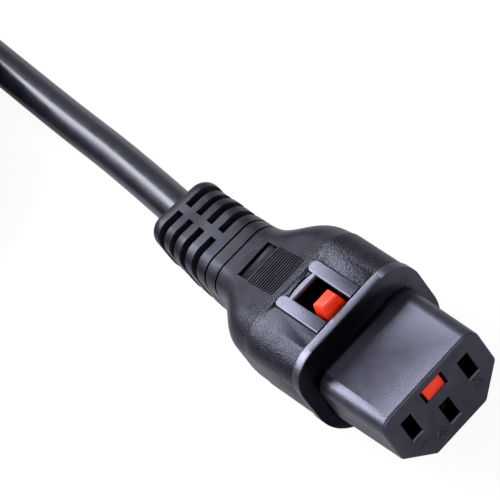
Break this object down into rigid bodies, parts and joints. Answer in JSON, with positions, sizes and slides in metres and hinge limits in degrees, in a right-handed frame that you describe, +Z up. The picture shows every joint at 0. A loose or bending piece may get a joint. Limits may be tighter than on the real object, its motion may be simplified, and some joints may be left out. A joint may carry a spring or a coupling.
{
  "type": "c13 power connector",
  "caption": "Locking C13 appliance connector with a red release slide, ribbed grip and slotted boot on a coiled power cord with a C14 plug.",
  "frame": {"origin": "bottom centre of the connector without its cord, on the surface that the connector lies on", "axes": "-Y is the way the nose points, +Z up towards the release slide, +X across"},
  "size_m": [0.1027, 0.2157, 0.0238],
  "materials": {
    "hard_black": "satin moulded black",
    "inner_mould": "plain moulded",
    "grip": "fine grained soft black moulding",
    "cord_jacket": "smooth satin black jacket",
    "spring_steel": "drawn wire",
    "contact_brass": "bright stamped",
    "copper": "bare copper strands",
    "brown_insulation": "extruded",
    "blue_insulation": "extruded",
    "green_yellow_insulation": "extruded with a stripe",
    "strap": "woven hook and loop strap",
    "plug_black": "soft black moulding",
    "pin_metal": "nickel plated",
    "red_slide": "satin moulded red",
    "plate_steel": "stamped"
  },
  "bodies": {
    "connector": {"nose_housing": "hard_black", "rear_cover": "hard_black", "inner_mould": "inner_mould", "grip_overmould": "grip", "jacket_end": "cord_jacket", "return_spring": "spring_steel", "line_contact": "contact_brass", "neutral_contact": "contact_brass", "earth_contact": "contact_brass", "line_strands": "copper", "neutral_strands": "copper", "earth_strands": "copper", "line_core": "brown_insulation", "neutral_core": "blue_insulation", "earth_core": "green_yellow_insulation", "cable": "cord_jacket", "cable_coil": "cord_jacket", "cable_tail": "cord_jacket", "cable_tie": "strap", "plug_body": "plug_black", "plug_line_pin": "pin_metal", "plug_neutral_pin": "pin_metal", "plug_earth_pin": "pin_metal"},
    "slide": {"release_slide": "red_slide"},
    "plate": {"locking_plate": "plate_steel"}
  },
  "joints": [
    {"name": "slide_release", "type": "slide", "parent": "connector", "child": "slide", "axis": [0, 1, 0], "range_m": [0, 0.0031], "stiffness_N_per_m": 300, "springref_m": -0.003, "deforming": ["return_spring"]},
    {"name": "plate_tilt", "type": "hinge", "parent": "connector", "child": "plate", "pos_m": [0, -0.0313, 0.0031], "axis": [-1, 0, 0], "range_deg": [0, 18.13]}
  ],
  "couplings": [
    {"joint": "plate_tilt", "follows": "slide_release", "rad_per_m": 101.95}
  ]
}
